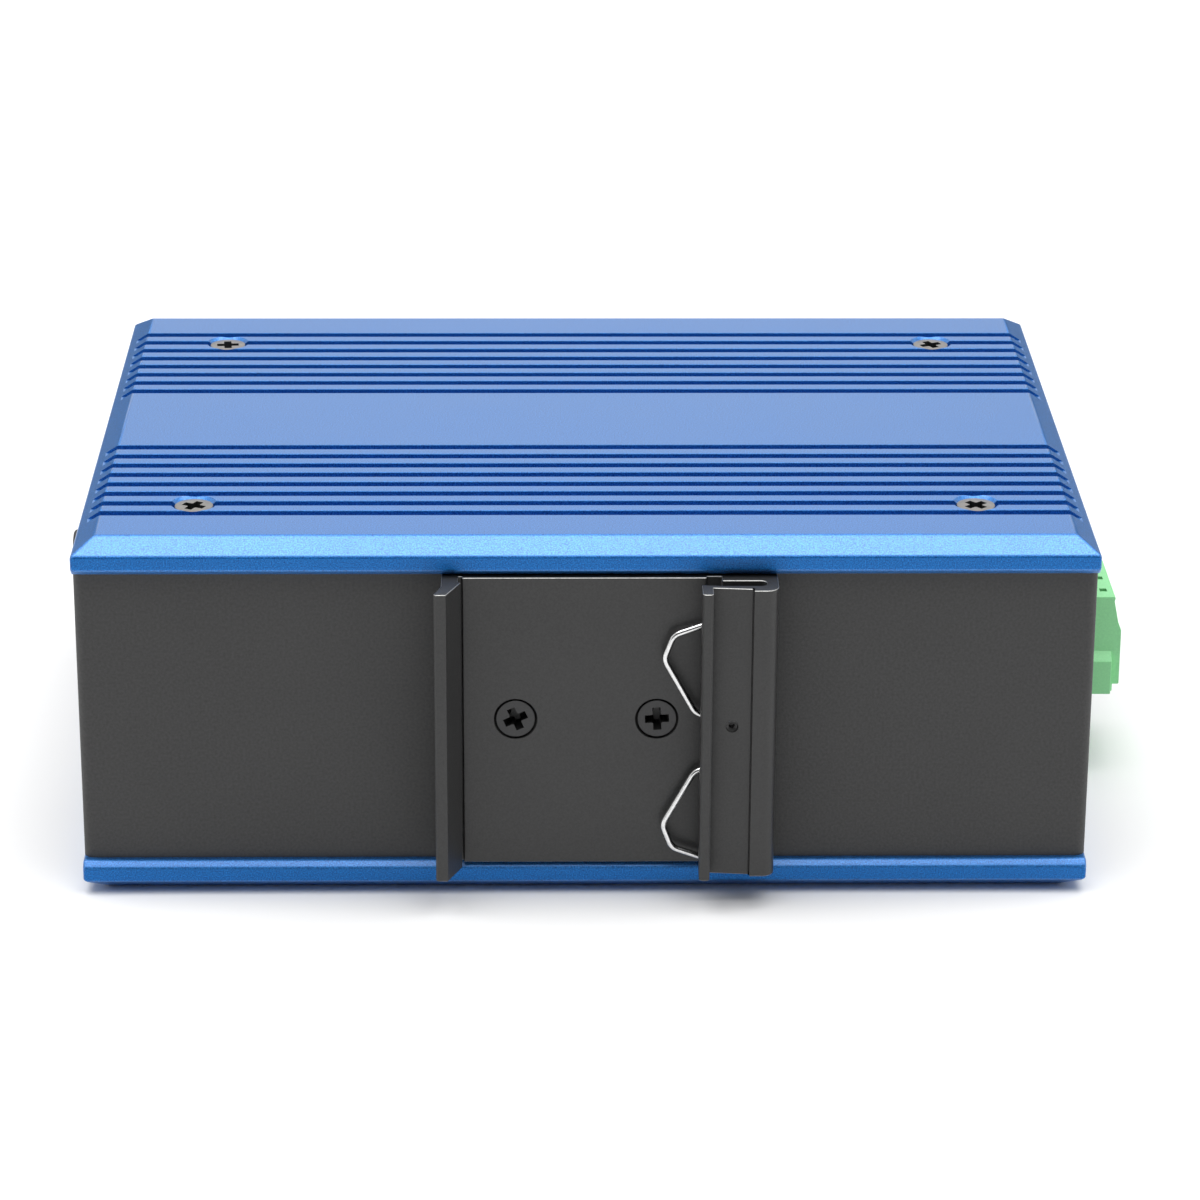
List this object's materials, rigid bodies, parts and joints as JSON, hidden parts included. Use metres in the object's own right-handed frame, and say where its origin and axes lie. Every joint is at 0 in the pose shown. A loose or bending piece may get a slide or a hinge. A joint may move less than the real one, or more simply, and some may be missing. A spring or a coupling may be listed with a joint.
{
  "type": "din rail ethernet switch",
  "caption": "Flat industrial network switch with ribbed side covers, a folded case, a rail clip with a wire spring and a pull-off power plug.",
  "frame": {"origin": "centre of the lower side cover's outer face", "axes": "+X along the switch's length towards the power plug; +Y towards the port side; +Z through the thickness, away from the lower cover"},
  "size_m": [0.1566, 0.1128, 0.054],
  "materials": {
    "blue_aluminium": "blue anodised, satin",
    "dark_coat": "fine-textured dark grey powder coat",
    "grey_aluminium": "grey anodised extrusion",
    "plated_steel": "zinc plated",
    "black_steel": "black oxide",
    "spring_steel": "bright drawn wire",
    "green_plastic": "moulded, satin",
    "black_plastic": "moulded, satin",
    "tin_plate": "tin plated sheet",
    "gold_plate": "gold plated contacts",
    "circuit_board": "green solder resist on glass-fibre laminate",
    "chip_mould": "moulded package",
    "soft_pad": "soft silicone",
    "lamp_lens": "clear tinted lens",
    "capacitor_sleeve": "shrink sleeve on a can"
  },
  "bodies": {
    "switch": {"board_screws": "plated_steel", "board_spacers": "plated_steel", "case_shell": "dark_coat", "clip_nuts": "plated_steel", "clip_screws": "black_steel", "clock_crystal": "tin_plate", "din_rail_clip": "grey_aluminium", "earth_nut": "plated_steel", "earth_screw": "black_steel", "earth_washer": "plated_steel", "front_panel": "dark_coat", "front_panel_nuts": "plated_steel", "front_panel_screws": "black_steel", "indicator_lamps": "lamp_lens", "lamp_holder": "black_plastic", "lower_cover_nuts": "plated_steel", "lower_cover_screws": "plated_steel", "lower_side_cover": "blue_aluminium", "main_board": "circuit_board", "port_contacts_1": "gold_plate", "port_contacts_2": "gold_plate", "port_contacts_3": "gold_plate", "port_contacts_4": "gold_plate", "port_insert_1": "black_plastic", "port_insert_2": "black_plastic", "port_insert_3": "black_plastic", "port_insert_4": "black_plastic", "port_shield_1": "tin_plate", "port_shield_2": "tin_plate", "port_shield_3": "tin_plate", "port_shield_4": "tin_plate", "port_transformer_1": "chip_mould", "port_transformer_2": "chip_mould", "port_transformer_3": "chip_mould", "port_transformer_4": "chip_mould", "power_header": "green_plastic", "power_header_pins": "tin_plate", "power_inductor": "chip_mould", "rail_spring": "spring_steel", "storage_capacitors": "capacitor_sleeve", "switch_chip": "chip_mould", "thermal_pad": "soft_pad", "upper_cover_nuts": "plated_steel", "upper_cover_screws": "plated_steel", "upper_side_cover": "blue_aluminium"},
    "plug": {"power_plug": "green_plastic", "plug_cages": "tin_plate", "plug_clamp_screws": "plated_steel"}
  },
  "joints": [
    {"name": "plug_pull", "type": "slide", "parent": "switch", "child": "plug", "axis": [1, 0, 0], "range_m": [0, 0.012]}
  ]
}
